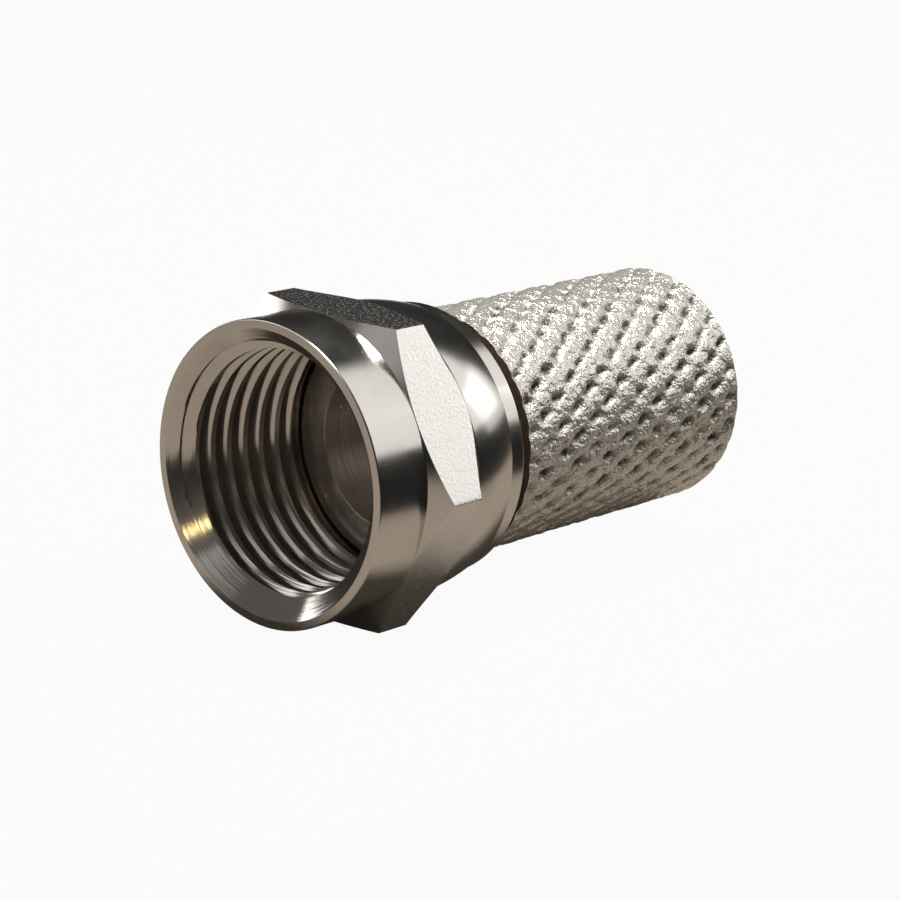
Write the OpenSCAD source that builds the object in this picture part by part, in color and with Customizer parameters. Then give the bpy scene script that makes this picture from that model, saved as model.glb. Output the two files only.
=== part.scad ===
// Twist-on coaxial F connector, lying on one flat of its hexagon nut.
// A free-turning nut is held by its rolled rear lip behind the flange of a knurled one-piece body.
// Millimetres. The connector's axis is +Y, from the mouth of the nut to the cable end, and +Z is up.
// The origin is on the axis, in the seating face that the mating socket presses against.
// Each piece is turned about its own Z with the mouth of the nut at z = 0, then laid along +Y.

/* [Coupling nut] */
// Width of the hexagon across its flats
nut_af = 11; // [10.97:0.01:12.5]
// Length of the nut from the mouth to its rolled rear lip
nut_len = 7.8; // [7.6:0.1:9.5]
// Outside diameter of the plain round skirt round the mouth
skirt_d = 10.96; // [10.5:0.01:10.96]
// Length of the plain round skirt
skirt_len = 2.3; // [1.5:0.1:2.6]
// Length of the chamfer that rises from the skirt to the corners of the hexagon
front_chamfer_len = 0.5; // [0.2:0.05:0.6]
// Length of the full corners of the hexagon, between its two chamfers
corner_len = 1.3; // [0.8:0.05:1.8]
// Length of the chamfer behind the corners of the hexagon
rear_chamfer_len = 0.85; // [0.5:0.05:1.1]
// How far the rear chamfer is hollowed, short of a straight cone
rear_chamfer_hollow = 0.12; // [0:0.01:0.15]
// Diameter where the rear chamfer runs into the tapered shoulder
shoulder_d = 10.9; // [10.7:0.02:10.9]
// Diameter of the shoulder where it meets the rolled lip
shoulder_end_d = 10.3; // [10.2:0.05:10.5]
// How far the shoulder bulges beyond a straight taper
shoulder_crown = 0.07; // [0:0.01:0.12]
// Outside diameter of the rolled lip at the rear of the nut
lip_d = 10.08; // [9.9:0.02:10.1]
// Length of the rolled lip
lip_len = 0.75; // [0.5:0.05:1]
// Small bevel that breaks the outer edges of the nut
edge_break = 0.08; // [0.04:0.01:0.12]

/* [Coupling thread] */
// Diameter over the crests of the nut's internal thread, 3/8-32 UNEF
thread_minor_d = 8.72; // [8.66:0.01:8.86]
// Diameter in the roots of the thread
thread_major_d = 9.53; // [9.5:0.01:9.54]
// Pitch of the thread, 32 turns to the inch
thread_pitch = 0.79375; // [0.78:0.00125:0.81]
// Diameter of the mouth, where the lead-in chamfer starts
mouth_d = 10.32; // [9.8:0.02:10.4]
// Length of the lead-in chamfer
lead_in_len = 0.72; // [0.4:0.02:1]
// Depth of the seating face behind the mouth of the nut
seat_depth = 6; // [5.5:0.1:6.4]
// Length of the clearance groove between the last thread and the seating face
relief_len = 0.5; // [0.3:0.05:0.8]
// Diameter of the clearance groove behind the thread
relief_d = 9.6; // [9.54:0.02:9.7]

/* [Body] */
// Diameter of the flange that holds the nut on the body
flange_d = 8.9; // [8.8:0.05:9]
// Thickness of the flange
flange_len = 1; // [0.8:0.05:1.2]
// Bevel on the front edge of the flange
flange_bevel = 0.15; // [0.05:0.01:0.25]
// Diameter of the neck that runs through the lip of the nut
neck_d = 7.8; // [7.4:0.05:7.9]
// Gap between the rear of the nut and the knurled barrel
neck_gap = 1; // [0.3:0.05:1.5]
// Length of the knurled barrel
barrel_len = 12.3; // [9:0.1:16]
// Diameter over the tops of the knurling
barrel_d = 9.24; // [8.8:0.02:10.5]
// Diameter of the bore that takes the cable
bore_d = 6.2; // [5:0.05:6.6]
// Diameter of the counterbore that leads the cable jacket in
entry_d = 7; // [6.8:0.05:7.4]
// Depth of the counterbore
entry_len = 2; // [0.5:0.1:4]
// Length of the bevel between the counterbore and the bore
entry_bevel = 0.4; // [0.2:0.05:0.8]

/* [Knurling] */
// Number of diamonds round the barrel
knurl_count = 27; // [16:1:32]
// Length of one diamond along the barrel
knurl_pitch = 1.83; // [1.2:0.01:2.6]
// Depth of the pits where the grooves cross
knurl_depth = 0.24; // [0.1:0.02:0.4]
// Depth of a groove between two crossings, as a share of the pit's depth
knurl_groove_share = 0.3; // [0.2:0.02:1]
// Width of a groove at the surface, as a share of the spacing of the grooves
knurl_groove_width = 0.72; // [0.4:0.02:0.9]

/* [Fits] */
// Radial running clearance between the neck and the lip of the nut
neck_clearance = 0.05; // [0.02:0.01:0.1]
// Radial clearance round the flange
flange_clearance = 0.1; // [0.05:0.01:0.12]
// Play of the nut along the axis behind the flange
end_play = 0.08; // [0.05:0.01:0.2]
// How far the flange's pocket reaches in front of the flange
pocket_lead = 0.1; // [0.05:0.01:0.2]

/* [Hidden] */
$fn = 96;

hex_d = nut_af / cos(30);
hex_start = skirt_len + front_chamfer_len;
hex_end = hex_start + corner_len;
shoulder_start = hex_end + rear_chamfer_len;
lip_start = nut_len - lip_len;
thread_end = seat_depth - relief_len;
flange_back = seat_depth + flange_len;
pocket_start = seat_depth - pocket_lead;
pocket_end = flange_back + end_play;
pocket_d = flange_d + 2 * flange_clearance;
lip_bore_d = neck_d + 2 * neck_clearance;
barrel_start = nut_len + neck_gap;
barrel_end = barrel_start + barrel_len;
past = 1;
crown_steps = 8;
hollow_steps = 4;

// The thread's groove runs in from before the mouth and out into the middle of the clearance groove.
thread_steps = 30;
thread_from = -0.6;
thread_to = (thread_end + pocket_start) / 2 / thread_pitch;
thread_half_angle = 30;

// The knurl's grid has four steps to a diamond, both ways.
knurl_columns = 4 * knurl_count;
knurl_rows = max(4, round(4 * barrel_len / knurl_pitch));

// Points from a to b that bow outwards by bow at the middle
function bowed(a, b, bow, n) = [
    for (i = [0:n])
    let (t = i / n, across = [b[1] - a[1], a[0] - b[0]] / norm(b - a))
    a + t * (b - a) + 4 * t * (1 - t) * bow * across
];

// How deep a groove is at a distance from its middle, counted in groove spacings
function groove(distance) = max(0, 1 - 2 * distance / knurl_groove_width);

// The distance from a whole number
function off_whole(x) = abs(x - round(x));

// Depth below the tops of the knurling: the two families of grooves add up where they cross.
// The edge of the cable end is left plain.
function knurl_sink(column, row) =
    let (
        right = groove(off_whole((column + row) / 4)),
        left = groove(off_whole((column - row) / 4))
    )
    row == knurl_rows
        ? 0
        : knurl_depth * (knurl_groove_share * max(right, left) + (1 - knurl_groove_share) * min(right, left));

// Lays a turned piece along +Y with the seating face at the origin
module lay() {
    rotate([-90, 0, 0])
    translate([0, 0, -seat_depth])
    children();
}

// The nut's outline from the mouth to the rolled lip, before the hexagon is cut
module nut_outline() {
    polygon(concat(
        [
            [0, 0],
            [skirt_d / 2 - edge_break, 0],
            [skirt_d / 2, edge_break],
            [skirt_d / 2, skirt_len],
            [hex_d / 2 + edge_break, hex_start]
        ],
        bowed(
            [hex_d / 2 + edge_break, hex_end],
            [shoulder_d / 2, shoulder_start],
            -rear_chamfer_hollow,
            hollow_steps
        ),
        [
            for (i = [1:crown_steps])
            bowed([shoulder_d / 2, shoulder_start], [shoulder_end_d / 2, lip_start], shoulder_crown, crown_steps)[i]
        ],
        [
            [lip_d / 2, lip_start + edge_break],
            [lip_d / 2, nut_len - edge_break],
            [lip_d / 2 - edge_break, nut_len],
            [0, nut_len]
        ]
    ));
}

// Everything that is hollow inside the nut: lead-in, thread, relief, flange pocket and lip
module nut_hollow() {
    polygon([
        [0, -past],
        [mouth_d / 2, -past],
        [mouth_d / 2, 0],
        [thread_minor_d / 2, lead_in_len],
        [thread_minor_d / 2, thread_end],
        [relief_d / 2, thread_end],
        [relief_d / 2, pocket_start],
        [pocket_d / 2, pocket_start],
        [pocket_d / 2, pocket_end],
        [lip_bore_d / 2, pocket_end],
        [lip_bore_d / 2, nut_len + past],
        [0, nut_len + past]
    ]);
}

// The right-handed groove of the internal thread, as a bar of trapezoid section wound round the axis
module thread_groove() {
    over = 0.1;
    root = thread_major_d / 2;
    inner = thread_minor_d / 2 - over;
    root_half = thread_pitch / 16;
    inner_half = root_half + (root - inner) * tan(thread_half_angle);
    count = ceil((thread_to - thread_from) * thread_steps);
    section = [[inner, -inner_half], [root, -root_half], [root, root_half], [inner, inner_half]];
    points = [
        for (i = [0:count], p = section)
        let (turns = thread_from + (thread_to - thread_from) * i / count, a = 360 * turns)
        [p[0] * cos(a), p[0] * sin(a), thread_pitch * turns + p[1]]
    ];
    sides = [
        for (i = [0:count - 1], j = [0:3])
        let (a = 4 * i + j, b = 4 * i + (j + 1) % 4)
        each [[a, b, b + 4], [a, b + 4, a + 4]]
    ];
    last = 4 * count;
    polyhedron(points = points, faces = concat(sides, [[3, 2, 1, 0], [last, last + 1, last + 2, last + 3]]));
}

module coupling_nut() {
    color("#b9b6ad")
    lay()
    difference() {
        intersection() {
            rotate_extrude() nut_outline();
            cylinder(d = hex_d, h = nut_len, $fn = 6);
        }
        rotate_extrude() nut_hollow();
        thread_groove();
    }
}

// A solid drum whose side carries two crossing families of helical grooves
module knurled_drum() {
    step = barrel_len / knurl_rows;
    side = [
        for (row = [0:knurl_rows], column = [0:knurl_columns - 1])
        let (r = barrel_d / 2 - knurl_sink(column, row), a = 360 * column / knurl_columns)
        [r * cos(a), r * sin(a), row * step]
    ];
    front = len(side);
    back = front + 1;
    last_row = knurl_rows * knurl_columns;
    function next(column) = (column + 1) % knurl_columns;
    function at(column, row) = row * knurl_columns + column;
    walls = [
        for (row = [0:knurl_rows - 1], column = [0:knurl_columns - 1])
        let (
            a = at(column, row),
            b = at(next(column), row),
            c = at(next(column), row + 1),
            d = at(column, row + 1)
        )
        each ((column + row) % 2 == 0 ? [[a, d, c], [a, c, b]] : [[a, d, b], [b, d, c]])
    ];
    caps = [
        for (column = [0:knurl_columns - 1])
        each [
            [front, column, next(column)],
            [back, last_row + next(column), last_row + column]
        ]
    ];
    polyhedron(points = concat(side, [[0, 0, 0], [0, 0, barrel_len]]), faces = concat(walls, caps));
}

// The flange and the neck, which runs a little way into the barrel
module flange_and_neck() {
    rotate_extrude()
    polygon([
        [0, seat_depth],
        [flange_d / 2 - flange_bevel, seat_depth],
        [flange_d / 2, seat_depth + flange_bevel],
        [flange_d / 2, flange_back],
        [neck_d / 2, flange_back],
        [neck_d / 2, barrel_start + past],
        [0, barrel_start + past]
    ]);
}

// The bore for the cable, with its wider entry at the rear
module cable_way() {
    rotate_extrude()
    polygon([
        [0, seat_depth - past],
        [bore_d / 2, seat_depth - past],
        [bore_d / 2, barrel_end - entry_len - entry_bevel],
        [entry_d / 2, barrel_end - entry_len],
        [entry_d / 2, barrel_end + past],
        [0, barrel_end + past]
    ]);
}

module knurled_body() {
    color("#c9c7bc")
    lay()
    difference() {
        union() {
            flange_and_neck();
            translate([0, 0, barrel_start]) knurled_drum();
        }
        cable_way();
    }
}

coupling_nut();
knurled_body();
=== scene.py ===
"""Twist-on F connector: a free-turning hexagon coupling nut on a knurled tubular body.

The connector lies on one flat of its nut. Its axis is Y, the mouth of the nut faces -Y and the
cable end +Y, and the origin is in the seating face of the body's flange. Sizes are kept in
metres. Meshes are shaped in millimetres and then brought to metres.
"""

import math

import bmesh
import bpy
from mathutils import Matrix, Vector, noise


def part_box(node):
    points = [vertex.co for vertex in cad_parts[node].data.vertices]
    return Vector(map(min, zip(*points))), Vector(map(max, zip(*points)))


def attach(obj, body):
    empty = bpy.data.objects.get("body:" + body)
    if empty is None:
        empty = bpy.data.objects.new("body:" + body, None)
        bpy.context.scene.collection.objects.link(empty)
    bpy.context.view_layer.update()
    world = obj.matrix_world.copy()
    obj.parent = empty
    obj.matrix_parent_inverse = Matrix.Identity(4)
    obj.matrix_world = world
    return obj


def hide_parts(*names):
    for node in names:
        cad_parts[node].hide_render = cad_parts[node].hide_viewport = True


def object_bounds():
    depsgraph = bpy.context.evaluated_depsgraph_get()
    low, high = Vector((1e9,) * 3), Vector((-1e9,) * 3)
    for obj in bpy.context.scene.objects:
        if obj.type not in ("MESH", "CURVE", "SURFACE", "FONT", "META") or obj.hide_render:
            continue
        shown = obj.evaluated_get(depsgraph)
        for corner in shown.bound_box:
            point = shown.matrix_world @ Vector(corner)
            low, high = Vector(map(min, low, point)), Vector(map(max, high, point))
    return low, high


bl_info = {
    "name": "Twist-on F Connector",
    "version": (1, 0, 0),
    "blender": (4, 5, 0),
    "location": "3D View > Sidebar > F Connector",
    "description": "Models a nickel-plated twist-on coaxial connector and its studio stage",
    "category": "Add Mesh",
}

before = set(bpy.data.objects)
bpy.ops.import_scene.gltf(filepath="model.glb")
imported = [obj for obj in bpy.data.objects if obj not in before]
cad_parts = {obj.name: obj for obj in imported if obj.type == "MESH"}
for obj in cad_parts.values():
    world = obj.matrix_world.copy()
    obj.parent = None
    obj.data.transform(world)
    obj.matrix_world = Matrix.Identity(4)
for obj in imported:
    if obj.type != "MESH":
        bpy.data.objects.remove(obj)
cad_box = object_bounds()

MM = 0.001
NUT_LOW, NUT_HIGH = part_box("coupling_nut")
BODY_LOW, BODY_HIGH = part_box("knurled_body")
MOUTH_Y = NUT_LOW.y

NUT_COLUMNS = 288  # faces round the nut and round each turn of its thread
DIAMOND_COLUMNS = 18  # faces across one diamond of the knurling
DIAMOND_ROWS = 18  # faces along one diamond
TURN_START = 0.25  # outlines are turned from +X, which is a quarter turn from +Z

# Closer than this, in millimetres, two places count as one.
NEAR = 0.001
# A cut takes a vertex this close to its plane, in millimetres, as lying on it.
CUT_SLACK = 1e-5
# The blank and the thread stand this far apart along the axis where their open rings are bridged,
# because two rings at one height are paired across the mouth and not across the gap.
JOIN = 0.01 * MM

# How the rolled skin of the knurling varies.
SEED = 7  # noise vectors start from here, or each run would roll another skin
WANDER_WAVES = 2.2  # waves to a millimetre in the straying of the pits
WEAR_WAVES = 0.9  # waves to a millimetre in the depth of the grooves
WEAR_MEAN, WEAR_SWING = 0.9, 0.6  # the grooves' depth as a share of its full value
CREASE_RISE = 1.6  # how fast a crease rises to the lump beside it
REAR_RUN_OUT = 0.35 * MM  # length over which the knurling runs out at the cable end
FRONT_RUN_OUT = 0.5 * MM  # and at the barrel's front edge
FRONT_SHARE = 0.3  # share of the depth that is left right at the front edge
DEEPEST = 0.4 * MM  # nothing lies deeper below the tops than this
NARROW, WIDE = 0.75, 1.3  # widths of the two families of grooves
FAINT = 3  # the wide family is this many times shallower
PIT = "pit"  # the attribute that holds how deep in a pit a point lies, as a share
END_FACE = 0.7  # faces that look along the axis more than this are not knurled


# ---------------------------------------------------------------- sizes and colours


def length(label, description, millimetres):
    """A length property whose default is given in millimetres."""
    return bpy.props.FloatProperty(
        name=label,
        description=description,
        default=millimetres * MM,
        min=0.0,
        unit="LENGTH",
        precision=6,
    )


def share(label, description, value):
    """A plain factor from 0 to 1."""
    return bpy.props.FloatProperty(
        name=label,
        description=description,
        default=value,
        min=0.0,
        max=1.0,
        subtype="FACTOR",
    )


def level(label, description, value):
    """A light level, where 1 shows as white."""
    return bpy.props.FloatProperty(name=label, description=description, default=value, min=0.0)


def linear(hex_code):
    """A colour written as sRGB hex, turned to linear RGB."""
    channels = [int(hex_code[i : i + 2], 16) / 255 for i in (1, 3, 5)]
    return tuple(c / 12.92 if c <= 0.04045 else ((c + 0.055) / 1.055) ** 2.4 for c in channels)


def colour(label, description, hex_code):
    """A colour property whose default is given as sRGB hex."""
    return bpy.props.FloatVectorProperty(
        name=label,
        description=description,
        default=linear(hex_code),
        size=3,
        min=0.0,
        max=1.0,
        subtype="COLOR",
    )


def rgba(rgb):
    """RGB with full alpha."""
    return (*rgb, 1.0)


class NutSizes(bpy.types.PropertyGroup):
    """Sizes of the coupling nut, measured from its mouth."""

    total: length("Length", "Length of the nut", (NUT_HIGH.y - NUT_LOW.y) / MM)
    across_flats: length("Across flats", "Width of the hexagon", (NUT_HIGH.z - NUT_LOW.z) / MM)
    skirt_d: length("Skirt diameter", "Outside diameter of the plain skirt", 10.96)
    skirt_len: length("Skirt length", "Length of the plain skirt", 2.3)
    front_chamfer: length("Front chamfer", "Length of the hexagon's front chamfer", 0.5)
    corner_len: length("Corner length", "Length of the hexagon's full corners", 1.3)
    rear_chamfer: length("Rear chamfer", "Length of the hexagon's rear chamfer", 0.85)
    rear_hollow: length("Rear chamfer hollow", "How far the rear chamfer is hollowed", 0.12)
    shoulder_d: length("Shoulder diameter", "Diameter where the rear chamfer ends", 10.9)
    shoulder_end_d: length("Shoulder end", "Diameter of the shoulder at the lip", 10.3)
    shoulder_crown: length("Shoulder crown", "Bulge of the shoulder past a taper", 0.07)
    lip_d: length("Lip diameter", "Outside diameter of the rolled lip", 10.08)
    lip_len: length("Lip length", "Length of the rolled lip", 0.75)
    edge: length("Edge rounding", "Radius of the broken edges", 0.05)
    mouth_d: length("Mouth diameter", "Where the lead-in chamfer starts", 10.32)
    lead_in: length("Lead-in", "Length of the lead-in chamfer", 0.72)
    seat_depth: length("Seat depth", "Depth of the seating face in the mouth", 6.0)
    relief_len: length("Relief length", "Length of the groove behind the thread", 0.5)
    relief_d: length("Relief diameter", "Diameter of the clearance groove", 9.6)
    pocket_d: length("Pocket diameter", "Diameter of the pocket round the flange", 9.1)
    pocket_len: length("Pocket length", "Pocket's length behind the seating face", 1.08)
    pocket_lead: length("Pocket lead", "Pocket's length before the seating face", 0.1)
    lip_bore_d: length("Lip bore", "Bore of the lip, which runs on the neck", 7.9)
    thread_pitch: length("Thread pitch", "Pitch of the 3/8-32 thread", 25.4 / 32)
    thread_minor_d: length("Minor diameter", "Diameter over the crests of the thread", 8.72)
    thread_major_d: length("Major diameter", "Diameter in the roots of the thread", 9.53)
    thread_start: share("Thread start", "Where the thread starts, in turns from the top", 0.25)
    flank_angle: bpy.props.FloatProperty(
        name="Flank angle",
        description="Half of the thread's angle",
        default=math.radians(30),
        subtype="ANGLE",
    )


class BodySizes(bpy.types.PropertyGroup):
    """Sizes of the knurled body, measured from its seating face."""

    total: length("Length", "Length of the body", (BODY_HIGH.y - BODY_LOW.y) / MM)
    flange_d: length("Flange diameter", "Diameter of the flange inside the nut", 8.9)
    flange_len: length("Flange thickness", "Thickness of the flange", 1.0)
    flange_bevel: length("Flange bevel", "Bevel on the front edge of the flange", 0.15)
    neck_d: length("Neck diameter", "Diameter of the neck in the lip of the nut", 7.8)
    barrel_d: length("Barrel diameter", "Diameter over the knurling", 9.24)
    barrel_len: length("Barrel length", "Length of the knurled barrel", 12.3)
    barrel_lead: length("Barrel lead", "How far the barrel's front edge leads", 0.12)
    bore_d: length("Bore", "Bore that takes the cable", 6.2)
    entry_d: length("Entry diameter", "Counterbore at the cable end", 7.0)
    entry_len: length("Entry depth", "Depth of the counterbore", 2.0)
    entry_bevel: length("Entry bevel", "Bevel between the counterbore and the bore", 0.4)
    edge: length("Edge rounding", "Radius of the broken edges", 0.1)
    knurl_count: bpy.props.IntProperty(
        name="Diamonds", description="Diamonds round the barrel", default=27, min=8
    )
    knurl_pitch: length("Diamond length", "Length of one diamond along the barrel", 1.83)
    knurl_depth: length("Pit depth", "Depth of the pits where the grooves cross", 0.23)
    groove_share: share("Groove depth", "Depth of a groove as a share of the pits", 0.24)
    groove_width: share("Groove width", "Width of a groove as a share of the spacing", 0.85)
    wander: length("Wander", "How far the pits stray from their places", 0.12)
    crumple: length("Crumple", "Depth of the creases between lumps of skin", 0.06)
    lumps_per_mm: bpy.props.FloatProperty(
        name="Lumps", description="Lumps to a millimetre", default=2.0, min=0.1
    )


class Finish(bpy.types.PropertyGroup):
    """Colours of the plating, of the dust and oil on it, and of the shade painted into its pits and
    its neck.
    """

    nickel: colour("Nickel", "Nickel plate on the turned surfaces", "#d2cdc6")
    stain: colour("Nickel tarnish", "Nickel plate where it has yellowed", "#a89a80")
    dust: colour("Dust", "Specks of oily dust on the turned surfaces", "#3b342b")
    flats: colour("Flats", "Nickel plate on the flats of the hexagon", "#d9d6d0")
    # This darker plate paints the shade in the gap between the nut's lip and the barrel.
    neck: colour("Neck", "Tarnished plate on the neck and the barrel's front", "#8a7d6c")
    pale_nickel: colour("Rough nickel", "Nickel plate over the knurling", "#dad5ca")
    # The colour in the pits is partly real oil and dust and partly painted shade, darker the deeper
    # a point lies in a pit.
    pit_dust_and_shade: colour("Grime", "Oil and dust held in the pits of the knurling", "#38332a")


class Stage(bpy.types.PropertyGroup):
    """The floor and the lights."""

    floor: colour("Floor", "Pale studio floor", "#8d847a")
    # Past its shaded edges the floor is painted dark, a painted shade for the metal to mirror.
    floor_painted_shade: colour("Floor shade", "Floor past its shaded edges", "#111214")
    edge_x: length("Shaded side", "Where the floor shades off at the right", 16.0)
    edge_y: length("Shaded front", "Where the floor shades off in front", 55.0)
    backdrop: colour("Backdrop", "Background as the camera sees it", "#ffffff")
    whiteness: share("Whiteness", "How white the floor is to the camera", 0.95)
    mirrored: share("Mirrored", "How much of the backdrop the metal shows", 0.01)
    room: colour("Room", "Tint of the surroundings", "#fffcf7")
    window: level("Window", "Radiance of the main softbox", 0.82)
    glow: level("Glow", "Radiance of the wide, dim softbox round the main one", 0.28)
    rear: level("Rear", "Radiance of the softbox past the cable end", 0.85)
    ceiling: level("Ceiling", "Radiance of the small lamp above", 56.0)
    left: level("Left", "Radiance of the softbox at the left", 2.2)
    fill: level("Fill", "Radiance of the softbox that looks into the mouth", 1.4)
    lamp: level("Lamp", "Radiance of the small warm lamp near the camera", 5.0)
    front: level("Front", "Radiance of the dim softbox above the camera", 0.35)
    lamp_colour: colour("Lamp colour", "Colour of the small lamp", "#ffe0a0")
    behind: level("Behind", "Light level behind the connector", 0.012)
    in_front: level("In front", "Light level in front of the connector", 0.1)


# ---------------------------------------------------------------- mesh tools


def bowed(start, end, bow, steps):
    """Points from start to end that bow outwards by bow at the middle."""
    a, b = Vector(start), Vector(end)
    across = Vector((b.y - a.y, a.x - b.x)).normalized()
    shares = [i / steps for i in range(steps + 1)]
    return [tuple(a.lerp(b, t) + across * 4 * t * (1 - t) * bow) for t in shares]


def rounded(corner, before, after, radius, steps=4, beyond=1.4):
    """A round in place of the corner between two points of an outline.

    A point on each side, at beyond times the radius from the corner, keeps the shading of the
    round off the long faces next to it.
    """
    c, a, b = Vector(corner), Vector(before), Vector(after)
    start = c + (a - c).normalized() * radius
    end = c + (b - c).normalized() * radius
    shares = [i / steps for i in range(steps + 1)]
    arc = [start.lerp(c, t).lerp(c.lerp(end, t), t) for t in shares]
    return [tuple(p) for p in (c.lerp(start, beyond), *arc, c.lerp(end, beyond))]


def split(start, end, count):
    """Evenly spaced points after start, up to and with end."""
    a, b = Vector(start), Vector(end)
    return [tuple(a.lerp(b, i / count)) for i in range(1, count + 1)]


def outline_edges(bm, outline, closed):
    """Vertices and edges in bm along an outline of (radius, y) points."""
    points = [bm.verts.new((r, y, 0)) for r, y in outline]
    edges = [bm.edges.new(pair) for pair in zip(points, points[1:])]
    if closed:
        edges.append(bm.edges.new((points[-1], points[0])))
    return points + edges


def turn(bm, outline, columns, closed=False, rise=0.0):
    """Turns an outline once about Y in bm; with a rise it winds one turn of a screw."""
    bmesh.ops.spin(
        bm,
        geom=outline_edges(bm, outline, closed),
        cent=(0, 0, 0),
        axis=(0, 1, 0),
        dvec=(0, rise / columns, 0),
        angle=math.tau,
        steps=columns,
        use_merge=rise == 0.0,
        use_duplicate=False,
    )
    bmesh.ops.remove_doubles(bm, verts=bm.verts, dist=NEAR)


def polar(point):
    """Radius and right-handed angle about +Y, from +Z, of a point."""
    return math.hypot(point.x, point.z), math.atan2(point.x, point.z)


def set_radius(vert, radius):
    """Moves a vertex to a radius about Y."""
    r = math.hypot(vert.co.x, vert.co.z)
    vert.co.x *= radius / r
    vert.co.z *= radius / r


def open_ring(bm, y):
    """The open edges of bm at a place y on the axis."""
    open_edges = [e for e in bm.edges if e.is_boundary]
    return [e for e in open_edges if all(abs(v.co.y - y) < NEAR for v in e.verts)]


def finished(name, bm, materials, sharp_degrees):
    """Closes a bmesh made in millimetres and makes the scene's object from it, in metres."""
    bmesh.ops.recalc_face_normals(bm, faces=bm.faces)
    for face in bm.faces:
        face.smooth = True
    for edge in bm.edges:
        if len(edge.link_faces) == 2 and edge.calc_face_angle() > math.radians(sharp_degrees):
            edge.smooth = False
    bmesh.ops.scale(bm, vec=(MM, MM, MM), verts=bm.verts)
    mesh = bpy.data.meshes.new(name)
    bm.to_mesh(mesh)
    bm.free()
    for material in materials:
        mesh.materials.append(material)
    piece = bpy.data.objects.new(name, mesh)
    bpy.context.scene.collection.objects.link(piece)
    return piece


# ---------------------------------------------------------------- materials


def add_node(tree, kind, values=None, links=None):
    """Adds a node, sets its inputs and settings from values, and links its inputs from links."""
    node = tree.nodes.new(kind)
    for key, value in (values or {}).items():
        if isinstance(key, int) or key in node.inputs:
            node.inputs[key].default_value = value
        else:
            setattr(node, key, value)
    for key, socket in (links or {}).items():
        tree.links.new(socket, node.inputs[key])
    return node


def new_material(name):
    """An empty node material and its output node."""
    material = bpy.data.materials.new(name)
    material.use_nodes = True
    material.node_tree.nodes.clear()
    return material, add_node(material.node_tree, "ShaderNodeOutputMaterial")


def turned_nickel(name, rings_mm, ring_depth_mm, roughness, dust, film=0.0):
    """Bright nickel plate over turned brass: a mirror broken by fine rings round the axis.

    The rings drag each highlight into a soft band along the piece, the plate has yellowed in
    clouds, and a few specks of dust sit on it. A film of oil, where there is one, dulls the
    mirror. Tool marks are nearer 0.05 mm apart, which is too fine to show, so the rings are drawn
    two to four times as coarse.
    """
    finish = bpy.context.scene.connector_finish
    material, output = new_material(name)
    tree = material.node_tree
    place = add_node(tree, "ShaderNodeTexCoord").outputs["Object"]
    cloud = add_node(
        tree,
        "ShaderNodeTexNoise",
        {"Scale": 1 / (1.6 * MM), "Detail": 4.0},
        {"Vector": place},
    )
    yellowed = add_node(
        tree,
        "ShaderNodeMapRange",
        {1: 0.5, 2: 0.95, 3: 0.0, 4: 0.35},
        {0: cloud.outputs["Fac"]},
    )
    tone = add_node(
        tree,
        "ShaderNodeMix",
        {"data_type": "RGBA", 6: rgba(finish.nickel), 7: rgba(finish.stain)},
        {0: yellowed.outputs[0]},
    )
    specks = add_node(
        tree,
        "ShaderNodeTexNoise",
        {"Scale": 1 / (0.22 * MM), "Detail": 2.0},
        {"Vector": place},
    )
    speck_mask = add_node(
        tree,
        "ShaderNodeMapRange",
        {1: dust, 2: dust + 0.03},
        {0: specks.outputs["Fac"]},
    )
    dusty = add_node(
        tree,
        "ShaderNodeMix",
        {"data_type": "RGBA", 7: rgba(finish.dust)},
        {0: speck_mask.outputs[0], 6: tone.outputs[2]},
    )
    # Across the axis the field is stretched to some 17 mm, so it hardly varies round a ring.
    stretch = add_node(
        tree,
        "ShaderNodeMapping",
        {"Scale": (60.0, 1 / (rings_mm * MM), 60.0)},
        {"Vector": place},
    )
    rings = add_node(
        tree,
        "ShaderNodeTexNoise",
        {"Scale": 1.0, "Detail": 3.0, "Roughness": 0.7},
        {"Vector": stretch.outputs[0]},
    )
    bump = add_node(
        tree,
        "ShaderNodeBump",
        {"Strength": 1.0, "Distance": ring_depth_mm * MM},
        {"Height": rings.outputs["Fac"]},
    )
    rough = add_node(
        tree,
        "ShaderNodeMapRange",
        {1: 0.3, 2: 0.7, 3: roughness * 0.85, 4: roughness * 1.2},
        {0: cloud.outputs["Fac"]},
    )
    shader = add_node(
        tree,
        "ShaderNodeBsdfPrincipled",
        {"Metallic": 1.0 - film},
        {
            "Base Color": dusty.outputs[2],
            "Roughness": rough.outputs[0],
            "Normal": bump.outputs[0],
        },
    )
    tree.links.new(shader.outputs[0], output.inputs[0])
    return material


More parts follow.
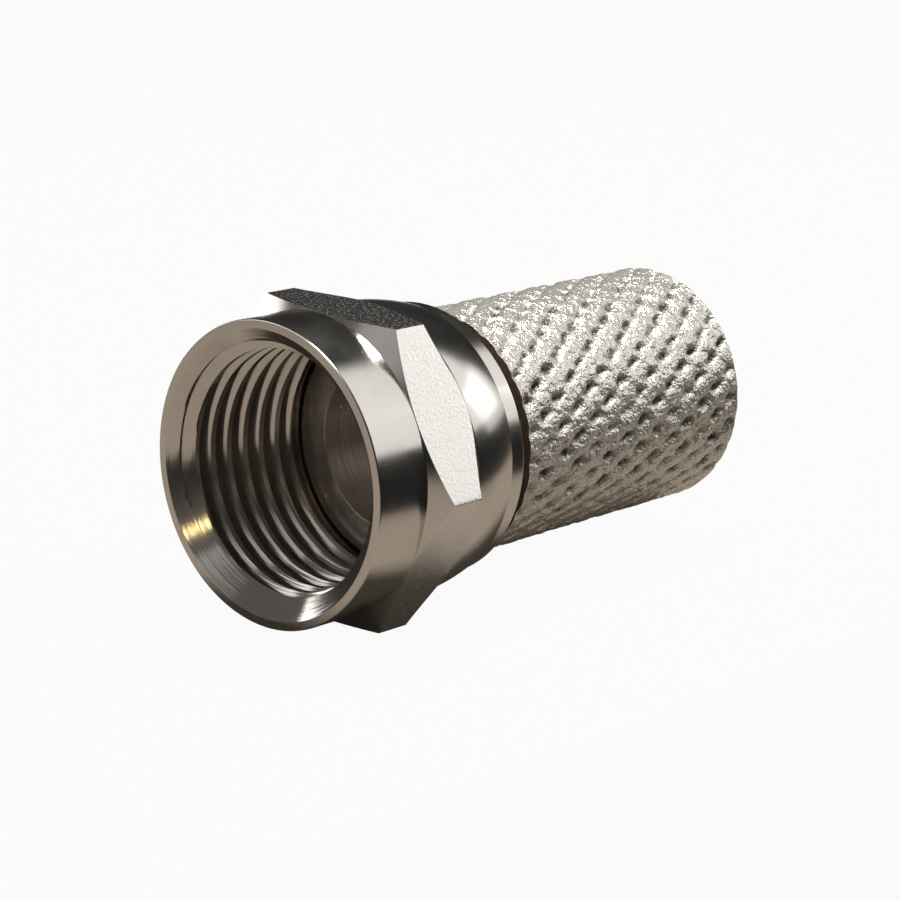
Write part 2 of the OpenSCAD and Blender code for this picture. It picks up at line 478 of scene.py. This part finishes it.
def knurled_nickel(name):
    """Nickel plate over rolled knurling: a crumpled skin that sparkles, with oil, dust and painted
    shade in its pits.

    The facets of the skin scatter a small lamp over the whole lit side. They are drawn 0.17 mm
    wide, which is coarser than the finest real ones, so that they show.
    """
    finish = bpy.context.scene.connector_finish
    material, output = new_material(name)
    tree = material.node_tree
    place = add_node(tree, "ShaderNodeTexCoord").outputs["Object"]
    pit = add_node(tree, "ShaderNodeAttribute", {"attribute_name": PIT}).outputs["Fac"]
    lumps = add_node(
        tree,
        "ShaderNodeTexVoronoi",
        {"Scale": 1 / (0.17 * MM), "Detail": 1.0, "Roughness": 0.6},
        {"Vector": place},
    )
    # This noise breaks the painted pit shade and dust into mottles.
    pit_mottle = add_node(
        tree,
        "ShaderNodeTexNoise",
        {"Scale": 1 / (0.12 * MM), "Detail": 2.0},
        {"Vector": place},
    )
    pit_shade_and_dust_depth = add_node(
        tree,
        "ShaderNodeMath",
        {"operation": "MULTIPLY"},
        {0: pit, 1: pit_mottle.outputs["Fac"]},
    )
    # Painted shade with oily dust: the deeper in a pit a point lies, the more of the dark colour it
    # gets.
    held = add_node(
        tree,
        "ShaderNodeMapRange",
        {1: 0.1, 2: 0.44, 3: 0.0, 4: 0.9},
        {0: pit_shade_and_dust_depth.outputs[0]},
    )
    tone = add_node(
        tree,
        "ShaderNodeMix",
        {"data_type": "RGBA", 6: rgba(finish.pale_nickel), 7: rgba(finish.pit_dust_and_shade)},
        {0: held.outputs[0]},
    )
    bump = add_node(
        tree,
        "ShaderNodeBump",
        {"Strength": 1.0, "Distance": 0.036 * MM, "invert": True},
        {"Height": lumps.outputs["Distance"]},
    )
    rough = add_node(tree, "ShaderNodeMapRange", {1: 0.2, 2: 0.8, 3: 0.26, 4: 0.6}, {0: pit})
    shader = add_node(
        tree,
        "ShaderNodeBsdfPrincipled",
        {"Metallic": 0.65},
        {
            "Base Color": tone.outputs[2],
            "Roughness": rough.outputs[0],
            "Normal": bump.outputs[0],
        },
    )
    tree.links.new(shader.outputs[0], output.inputs[0])
    return material


def grained_nickel(name, plate, grain_mm, depth_mm, roughness):
    """Nickel plate over an unpolished, grainy surface: it is pale or dark all over.

    Fine dust lies on it, which shows as pale specks where the plate is dark and as grey ones
    where it is bright. Grain and dust are drawn about 0.1 mm wide, which is coarser than they
    are, so that they show.
    """
    material, output = new_material(name)
    tree = material.node_tree
    place = add_node(tree, "ShaderNodeTexCoord").outputs["Object"]
    grain = add_node(
        tree,
        "ShaderNodeTexNoise",
        {"Scale": 1 / (grain_mm * MM), "Detail": 6.0, "Roughness": 0.65},
        {"Vector": place},
    )
    bump = add_node(
        tree,
        "ShaderNodeBump",
        {"Strength": 1.0, "Distance": depth_mm * MM},
        {"Height": grain.outputs["Fac"]},
    )
    dust = add_node(
        tree,
        "ShaderNodeTexNoise",
        {"Scale": 1 / (0.11 * MM), "Detail": 3.0, "Roughness": 0.7},
        {"Vector": place},
    )
    clean = add_node(
        tree,
        "ShaderNodeMapRange",
        {1: 0.54, 2: 0.68, 3: 1.0, 4: 0.6},
        {0: dust.outputs["Fac"]},
    )
    shader = add_node(
        tree,
        "ShaderNodeBsdfPrincipled",
        {"Base Color": rgba(plate), "Roughness": roughness},
        {"Metallic": clean.outputs[0], "Normal": bump.outputs[0]},
    )
    tree.links.new(shader.outputs[0], output.inputs[0])
    return material


# ---------------------------------------------------------------- the nut


def nut_outline(s):
    """The nut's outline before its hexagon is cut.

    It runs from the mouth over the outside and in again to the end of the thread.
    """
    corner = s.across_flats / math.sqrt(3) + s.edge
    hex_start = s.skirt_len + s.front_chamfer
    hex_end = hex_start + s.corner_len
    shoulder_start = hex_end + s.rear_chamfer
    lip_start = s.total - s.lip_len
    thread_end = s.seat_depth - s.relief_len
    pocket_start = s.seat_depth - s.pocket_lead
    pocket_end = s.seat_depth + s.pocket_len
    mouth, skirt = s.mouth_d / 2, s.skirt_d / 2
    shoulder, shoulder_rear = s.shoulder_d / 2, s.shoulder_end_d / 2
    lip, lip_bore = s.lip_d / 2, s.lip_bore_d / 2
    pocket, relief = s.pocket_d / 2, s.relief_d / 2
    points = [
        (mouth, 0),
        *rounded((skirt, 0), (mouth, 0), (skirt, s.skirt_len), s.edge),
        *rounded((skirt, s.skirt_len), (skirt, 0), (corner, hex_start), s.edge / 3),
        (corner, hex_start),
        *bowed((corner, hex_end), (shoulder, shoulder_start), -s.rear_hollow, steps=8),
        *bowed(
            (shoulder, shoulder_start),
            (shoulder_rear, lip_start),
            s.shoulder_crown,
            steps=14,
        )[1:],
        *rounded((lip, lip_start), (shoulder_rear, lip_start), (lip, s.total), s.edge / 2),
        *rounded((lip, s.total), (lip, lip_start), (lip_bore, s.total), s.edge),
        *rounded((lip_bore, s.total), (lip, s.total), (lip_bore, pocket_end), s.edge),
        (lip_bore, pocket_end),
        (pocket, pocket_end),
        (pocket, pocket_start),
        (relief, pocket_start),
        (relief, thread_end + JOIN),
    ]
    return [(r / MM, (y + MOUTH_Y) / MM) for r, y in points]


def wind_thread(bm, s):
    """Winds the internal thread one turn at a time and runs it out in the lead-in chamfer."""
    crest, root, pitch = s.thread_minor_d / 2, s.thread_major_d / 2, s.thread_pitch
    mouth = s.mouth_d / 2
    thread_end = s.seat_depth - s.relief_len
    # One pitch holds a crest, a flank, a root and a flank; their lengths are shares of the pitch.
    root_half = 1 / 16
    flank = (root - crest) * math.tan(s.flank_angle) / pitch
    crest_half = 0.5 - root_half - flank
    steps = [-crest_half, -crest_half / 2, 0, crest_half / 2]
    steps += [crest_half + flank * i / 4 for i in range(5)]
    steps += [0.5]
    steps += [1 - crest_half - flank * (4 - i) / 4 for i in range(5)]
    # The winding starts in front of the mouth and is cut off there once its depth is set.
    spare_turns = 2
    first = TURN_START + s.thread_start - spare_turns
    outline = [(crest / MM, (MOUTH_Y + (first + t) * pitch) / MM) for t in steps]
    thread = bmesh.new()
    turn(thread, outline, NUT_COLUMNS, rise=pitch / MM)
    one_turn = thread.verts[:] + thread.edges[:] + thread.faces[:]
    for count in range(1, math.ceil(thread_end / pitch) + spare_turns + 1):
        copy = bmesh.ops.duplicate(thread, geom=one_turn)
        moved = [v for v in copy["geom"] if isinstance(v, bmesh.types.BMVert)]
        bmesh.ops.translate(thread, vec=(0, count * pitch / MM, 0), verts=moved)
    bmesh.ops.remove_doubles(thread, verts=thread.verts, dist=2 * NEAR)
    for vert in thread.verts:
        angle = polar(vert.co)[1]
        depth = vert.co.y * MM - MOUTH_Y
        turns = depth / pitch - angle / math.tau - s.thread_start
        sink = min(max((abs(turns - round(turns)) - crest_half) / flank, 0.0), 1.0)
        cone = mouth + (crest - mouth) * depth / s.lead_in
        set_radius(vert, max(cone, crest + (root - crest) * sink) / MM)
    for depth, way in ((JOIN, -1), (thread_end, 1)):
        bmesh.ops.bisect_plane(
            thread,
            geom=thread.verts[:] + thread.edges[:] + thread.faces[:],
            dist=CUT_SLACK,
            plane_co=(0, (MOUTH_Y + depth) / MM, 0),
            plane_no=(0, way, 0),
            clear_outer=True,
        )
    for face in thread.faces:
        face.material_index = 2
    wound = bpy.data.meshes.new("thread")
    thread.to_mesh(wound)
    thread.free()
    bm.from_mesh(wound)
    bpy.data.meshes.remove(wound)
    for depth in (0, thread_end):
        near, far = (MOUTH_Y + depth) / MM, (MOUTH_Y + depth + JOIN) / MM
        bmesh.ops.bridge_loops(bm, edges=open_ring(bm, near) + open_ring(bm, far))


def cut_hexagon(bm, apothem, edge):
    """Mills six flats on the blank, the first facing up, and breaks the edges between them."""
    for side in range(6):
        angle = side * math.tau / 6
        normal = Vector((math.sin(angle), 0, math.cos(angle)))
        cut = bmesh.ops.bisect_plane(
            bm,
            geom=bm.verts[:] + bm.edges[:] + bm.faces[:],
            dist=CUT_SLACK,
            plane_co=normal * apothem,
            plane_no=normal,
            clear_outer=True,
        )
        rim = [e for e in cut["geom_cut"] if isinstance(e, bmesh.types.BMEdge)]
        flat = bmesh.ops.edgeloop_fill(bm, edges=rim)
        for face in flat["faces"]:
            face.material_index = 1
    joined = [e for e in bm.edges if len(e.link_faces) == 2]
    corners = [e for e in joined if all(f.material_index == 1 for f in e.link_faces)]
    bmesh.ops.bevel(
        bm,
        geom=corners + [v for e in corners for v in e.verts],
        offset=edge,
        segments=2,
        affect="EDGES",
        profile=0.5,
        material=-1,
    )


class MESH_OT_connector_nut(bpy.types.Operator):
    """Turn the coupling nut, wind its internal thread and mill its hexagon"""

    bl_idname = "mesh.connector_nut"
    bl_label = "Coupling Nut"

    def execute(self, context):
        s = context.scene.connector_nut
        finish = context.scene.connector_finish
        bm = bmesh.new()
        turn(bm, nut_outline(s), NUT_COLUMNS)
        wind_thread(bm, s)
        cut_hexagon(bm, s.across_flats / 2 / MM, s.edge / 2 / MM)
        nut = finished(
            "nut_shell",
            bm,
            [
                turned_nickel(
                    "bright_nickel_turned",
                    rings_mm=0.09,
                    ring_depth_mm=0.0012,
                    roughness=0.17,
                    dust=0.77,
                ),
                grained_nickel(
                    "satin_nickel_flats",
                    finish.flats,
                    grain_mm=0.12,
                    depth_mm=0.012,
                    roughness=0.2,
                ),
                turned_nickel(
                    "nickel_thread",
                    rings_mm=0.11,
                    ring_depth_mm=0.009,
                    roughness=0.13,
                    dust=0.76,
                    film=0.1,
                ),
            ],
            sharp_degrees=28,
        )
        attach(nut, "nut")
        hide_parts("coupling_nut")
        return {"FINISHED"}


# ---------------------------------------------------------------- the body


def body_outline(s):
    """The body's closed outline: back over the outside, then forward through the bore."""
    flange, neck, barrel = s.flange_d / 2, s.neck_d / 2, s.barrel_d / 2
    bore, entry = s.bore_d / 2, s.entry_d / 2
    barrel_start = s.total - s.barrel_len
    barrel_front = barrel_start - s.barrel_lead
    rows = round((s.barrel_len + s.barrel_lead) / (s.knurl_pitch / DIAMOND_ROWS))
    entry_start = s.total - s.entry_len
    step = s.entry_len + s.entry_bevel
    points = [
        *rounded((bore, 0), (bore, step), (flange, 0), s.edge / 2),
        (flange - s.flange_bevel, 0),
        (flange, s.flange_bevel),
        (flange, s.flange_len),
        (neck, s.flange_len),
        (neck, barrel_front),
        (barrel, barrel_front),
        *split((barrel, barrel_front), (barrel, s.total), rows),
        *rounded((entry, s.total), (barrel, s.total), (entry, entry_start), s.edge),
        (entry, entry_start),
        (bore, s.total - step),
    ]
    return [(r / MM, y / MM) for r, y in points]


def knurl_sink(s, angle, y):
    """How far the knurled surface lies below its tops, at an angle and a place on the barrel.

    Two families of grooves cross. One is narrow and deep, the other wide and faint, and where
    they cross they leave a pit.
    """
    turns = (angle / math.tau - TURN_START) * s.knurl_count
    pitches = y / s.knurl_pitch
    grooves = []
    for way, spread in ((turns + pitches, NARROW), (turns - pitches, WIDE)):
        off = abs(way - round(way)) / (s.groove_width * spread)
        grooves.append(0.5 + 0.5 * math.cos(math.pi * min(2 * off, 1.0)))
    deep, faint = grooves
    along = s.groove_share * (deep + faint / FAINT)
    crossing = (1 - s.groove_share * (FAINT + 1) / FAINT) * deep * faint
    return s.knurl_depth * (along + crossing)


class MESH_OT_connector_body(bpy.types.Operator):
    """Turn the body with its flange and neck, and roll the knurling into its barrel"""

    bl_idname = "mesh.connector_body"
    bl_label = "Knurled Body"

    def execute(self, context):
        s = context.scene.connector_body
        finish = context.scene.connector_finish
        bm = bmesh.new()
        turn(bm, body_outline(s), DIAMOND_COLUMNS * s.knurl_count, closed=True)
        barrel_start = s.total - s.barrel_len
        barrel_front = barrel_start - s.barrel_lead
        barrel = s.barrel_d / 2
        pits = bm.verts.layers.float.new(PIT)
        noise.seed_set(SEED)
        for vert in bm.verts:
            r, angle = polar(vert.co)
            y = vert.co.y * MM
            if r * MM < barrel - NEAR * MM:
                continue
            shift = noise.noise_vector(vert.co * WANDER_WAVES) * s.wander
            lump = noise.turbulence(vert.co * s.lumps_per_mm, 3, True)
            worn = WEAR_MEAN + WEAR_SWING * noise.noise(vert.co * WEAR_WAVES)
            rear_share = (s.total - y) / REAR_RUN_OUT
            front_share = FRONT_SHARE + (y - barrel_front) / FRONT_RUN_OUT
            run_out = min(1.0, rear_share, front_share)
            sink = knurl_sink(s, angle + shift.x / barrel, y - barrel_start + shift.y)
            sink *= worn * run_out
            round_off = max(0.0, s.edge - (s.total - y)) ** 2 / s.edge
            dent = s.crumple * max(0.0, 1.0 - CREASE_RISE * lump) * run_out
            vert[pits] = sink / s.knurl_depth
            set_radius(vert, (barrel - min(sink + round_off + dent, DEEPEST)) / MM)
        bm.normal_update()
        for face in bm.faces:
            centre = face.calc_center_median()
            r, y = polar(centre)[0] * MM, centre.y * MM
            on_barrel = y > barrel_front + NEAR * MM and r > s.entry_d / 2
            if on_barrel and abs(face.normal.y) < END_FACE:
                face.material_index = 1
            elif s.flange_len < y < barrel_front + NEAR * MM and r > s.neck_d / 2 - NEAR * MM:
                face.material_index = 2
        body = finished(
            "body_shell",
            bm,
            [
                turned_nickel(
                    "nickel_bore",
                    rings_mm=0.22,
                    ring_depth_mm=0.02,
                    roughness=0.24,
                    dust=0.78,
                    film=0.35,
                ),
                knurled_nickel("knurled_nickel"),
                # The neck and the barrel's front face get a darker plate that paints the shade of
                # the gap under the nut's lip.
                grained_nickel(
                    "neck_painted_shade",
                    finish.neck,
                    grain_mm=0.1,
                    depth_mm=0.01,
                    roughness=0.5,
                ),
            ],
            sharp_degrees=40,
        )
        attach(body, "body")
        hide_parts("knurled_body")
        return {"FINISHED"}


# ---------------------------------------------------------------- the stage


# Where the camera stands, and the ways its right, its up and its back point. It is leant 4.6
# degrees round the connector's axis, and the softboxes are with it.
CAMERA_PLACE = Vector((64.773, -69.91, 28.269)) * MM
CAMERA_RIGHT = Vector((0.7368, 0.6735, 0.0595))
CAMERA_UP = Vector((-0.2342, 0.1717, 0.9569))
CAMERA_BACK = Vector((0.6343, -0.7190, 0.2842))
CAMERA_LENS, CAMERA_SENSOR = 110.17, 36.0
CAMERA_NEAR, CAMERA_FAR = 0.005, 5.0
FLOOR_REACH = 1.5
SIDE_BLUR = 2 * MM  # half of the width over which the floor shades off at the right
FRONT_BLUR = 10 * MM  # and the whole width in front


def softbox(name, towards, distance, width, height, radiance):
    """A softbox that faces the connector; its radiance is what a mirror would show of it."""
    data = bpy.data.lights.new(name, "AREA")
    data.shape = "RECTANGLE"
    data.size, data.size_y = width, height
    data.energy = radiance * math.pi * width * height
    lamp = bpy.data.objects.new(name, data)
    place = Vector(towards).normalized()
    lamp.location = place * distance
    lamp.rotation_mode = "QUATERNION"
    lamp.rotation_quaternion = place.to_track_quat("Z", "Y")
    lamp.visible_camera = False
    bpy.context.scene.collection.objects.link(lamp)
    return lamp


def background_share(tree, s):
    """How much of the white backdrop a ray sees: all for the camera and in glass, less in metal."""
    rays = add_node(tree, "ShaderNodeLightPath")
    clear = add_node(
        tree,
        "ShaderNodeMath",
        {"operation": "MAXIMUM"},
        {0: rays.outputs["Is Camera Ray"], 1: rays.outputs["Is Transmission Ray"]},
    )
    metal = add_node(
        tree,
        "ShaderNodeMath",
        {"operation": "MULTIPLY", 1: s.mirrored},
        {0: rays.outputs["Is Glossy Ray"]},
    )
    seen = add_node(
        tree,
        "ShaderNodeMath",
        {"operation": "MAXIMUM"},
        {0: clear.outputs[0], 1: metal.outputs[0]},
    )
    return seen.outputs[0]


def floor_material(s):
    """A pale matt floor that looks white and holds the connector's shadow.

    Past the right and well in front it is painted with shade, so that the metal has dark parts to
    mirror.
    """
    material, output = new_material("pale_floor")
    tree = material.node_tree
    place = add_node(tree, "ShaderNodeTexCoord").outputs["Object"]
    across = add_node(tree, "ShaderNodeSeparateXYZ", links={0: place})
    side = add_node(
        tree,
        "ShaderNodeMapRange",
        {1: s.edge_x - SIDE_BLUR, 2: s.edge_x + SIDE_BLUR},
        {0: across.outputs[0]},
    )
    fore = add_node(
        tree,
        "ShaderNodeMapRange",
        {1: FRONT_BLUR - s.edge_y, 2: -s.edge_y},
        {0: across.outputs[1]},
    )
    edge = add_node(
        tree,
        "ShaderNodeMath",
        {"operation": "MAXIMUM"},
        {0: side.outputs[0], 1: fore.outputs[0]},
    )
    tint = add_node(
        tree,
        "ShaderNodeMix",
        {"data_type": "RGBA", 6: rgba(s.floor), 7: rgba(s.floor_painted_shade)},
        {0: edge.outputs[0]},
    )
    matt = add_node(tree, "ShaderNodeBsdfDiffuse", links={"Color": tint.outputs[2]})
    white = add_node(
        tree,
        "ShaderNodeEmission",
        {"Color": rgba(s.backdrop), "Strength": 1.0},
    )
    seen = add_node(
        tree,
        "ShaderNodeMath",
        {"operation": "MULTIPLY", 1: s.whiteness},
        {0: background_share(tree, s)},
    )
    mix = add_node(
        tree,
        "ShaderNodeMixShader",
        links={0: seen.outputs[0], 1: matt.outputs[0], 2: white.outputs[0]},
    )
    tree.links.new(mix.outputs[0], output.inputs[0])
    return material


def studio_world(s):
    """Surroundings: white to the camera, dim behind the connector, brighter above its front."""
    world = bpy.data.worlds.new("studio")
    world.use_nodes = True
    tree = world.node_tree
    tree.nodes.clear()
    out = add_node(tree, "ShaderNodeOutputWorld")
    way = add_node(tree, "ShaderNodeTexCoord").outputs["Generated"]
    along = add_node(tree, "ShaderNodeSeparateXYZ", links={0: way})
    front = add_node(
        tree,
        "ShaderNodeMapRange",
        {1: 0.45, 2: -0.35, "interpolation_type": "SMOOTHSTEP"},
        {0: along.outputs[1]},
    )
    high = add_node(
        tree,
        "ShaderNodeMapRange",
        {1: 0.05, 2: 0.5, "interpolation_type": "SMOOTHSTEP"},
        {0: along.outputs[2]},
    )
    both = add_node(
        tree,
        "ShaderNodeMath",
        {"operation": "MULTIPLY"},
        {0: front.outputs[0], 1: high.outputs[0]},
    )
    room_level = add_node(
        tree,
        "ShaderNodeMapRange",
        {3: s.behind, 4: s.in_front},
        {0: both.outputs[0]},
    )
    room = add_node(
        tree,
        "ShaderNodeBackground",
        {"Color": rgba(s.room)},
        {"Strength": room_level.outputs[0]},
    )
    sky = add_node(tree, "ShaderNodeBackground", {"Color": rgba(s.backdrop), "Strength": 1.0})
    mix = add_node(
        tree,
        "ShaderNodeMixShader",
        links={0: background_share(tree, s), 1: room.outputs[0], 2: sky.outputs[0]},
    )
    tree.links.new(mix.outputs[0], out.inputs[0])
    return world


class SCENE_OT_connector_stage(bpy.types.Operator):
    """Lay the pale floor and set the camera, the softboxes and the surroundings"""

    bl_idname = "scene.connector_stage"
    bl_label = "Studio Stage"

    def execute(self, context):
        scene = context.scene
        s = scene.connector_stage
        camera = bpy.data.objects.new("camera", bpy.data.cameras.new("camera"))
        camera.data.lens = CAMERA_LENS
        camera.data.sensor_width = CAMERA_SENSOR
        camera.data.clip_start, camera.data.clip_end = CAMERA_NEAR, CAMERA_FAR
        turned = Matrix((CAMERA_RIGHT, CAMERA_UP, CAMERA_BACK)).transposed()
        camera.matrix_world = Matrix.Translation(CAMERA_PLACE) @ turned.to_4x4()
        scene.collection.objects.link(camera)
        scene.camera = camera
        bm = bmesh.new()
        bmesh.ops.create_grid(bm, x_segments=1, y_segments=1, size=FLOOR_REACH)
        bmesh.ops.translate(bm, vec=(0, 0, cad_box[0].z), verts=bm.verts)
        mesh = bpy.data.meshes.new("floor")
        bm.to_mesh(mesh)
        bm.free()
        mesh.materials.append(floor_material(s))
        floor = bpy.data.objects.new("floor", mesh)
        scene.collection.objects.link(floor)
        # For each: name, way to it, its distance, width and height in metres, and its level.
        softbox("window_softbox", (0.455, 0.70, 0.55), 0.3, 0.225, 0.225, s.window)
        softbox("glow_softbox", (0.43, 0.70, 0.57), 0.31, 0.265, 0.25, s.glow)
        softbox("rear_softbox", (0.30, 0.90, 0.33), 0.31, 0.15, 0.13, s.rear)
        softbox("ceiling_lamp", (-0.03, 0.2, 0.98), 0.3, 0.09, 0.09, s.ceiling)
        softbox("left_softbox", (-0.97, -0.15, 0.12), 0.3, 0.16, 0.12, s.left)
        softbox("fill_softbox", (-0.60, -0.78, 0.15), 0.3, 0.18, 0.16, s.fill)
        lamp = softbox("warm_lamp", (0.33, -0.80, 0.49), 0.3, 0.03, 0.03, s.lamp)
        lamp.data.color = s.lamp_colour
        softbox("front_softbox", (-0.15, -0.82, 0.55), 0.3, 0.16, 0.12, s.front)
        scene.world = studio_world(s)
        scene.view_settings.view_transform = "Standard"
        return {"FINISHED"}


class VIEW3D_PT_connector(bpy.types.Panel):
    """Buttons for the pieces of the connector"""

    bl_label = "F Connector"
    bl_space_type = "VIEW_3D"
    bl_region_type = "UI"
    bl_category = "F Connector"

    def draw(self, context):
        """One button for each operator."""
        for operator in OPERATORS:
            self.layout.operator(operator.bl_idname)


OPERATORS = (MESH_OT_connector_nut, MESH_OT_connector_body, SCENE_OT_connector_stage)
GROUPS = {
    "connector_nut": NutSizes,
    "connector_body": BodySizes,
    "connector_finish": Finish,
    "connector_stage": Stage,
}


def register():
    """Makes the property groups, the operators and the panel known to Blender."""
    for group in GROUPS.values():
        bpy.utils.register_class(group)
    for name, group in GROUPS.items():
        setattr(bpy.types.Scene, name, bpy.props.PointerProperty(type=group))
    for operator in OPERATORS:
        bpy.utils.register_class(operator)
    bpy.utils.register_class(VIEW3D_PT_connector)


def unregister():
    """Takes them away again, in the opposite order."""
    bpy.utils.unregister_class(VIEW3D_PT_connector)
    for operator in reversed(OPERATORS):
        bpy.utils.unregister_class(operator)
    for name, group in GROUPS.items():
        delattr(bpy.types.Scene, name)
        bpy.utils.unregister_class(group)


def main():
    """Makes the whole scene."""
    register()
    bpy.ops.scene.connector_stage()
    bpy.ops.mesh.connector_nut()
    bpy.ops.mesh.connector_body()


if __name__ == "__main__":
    main()
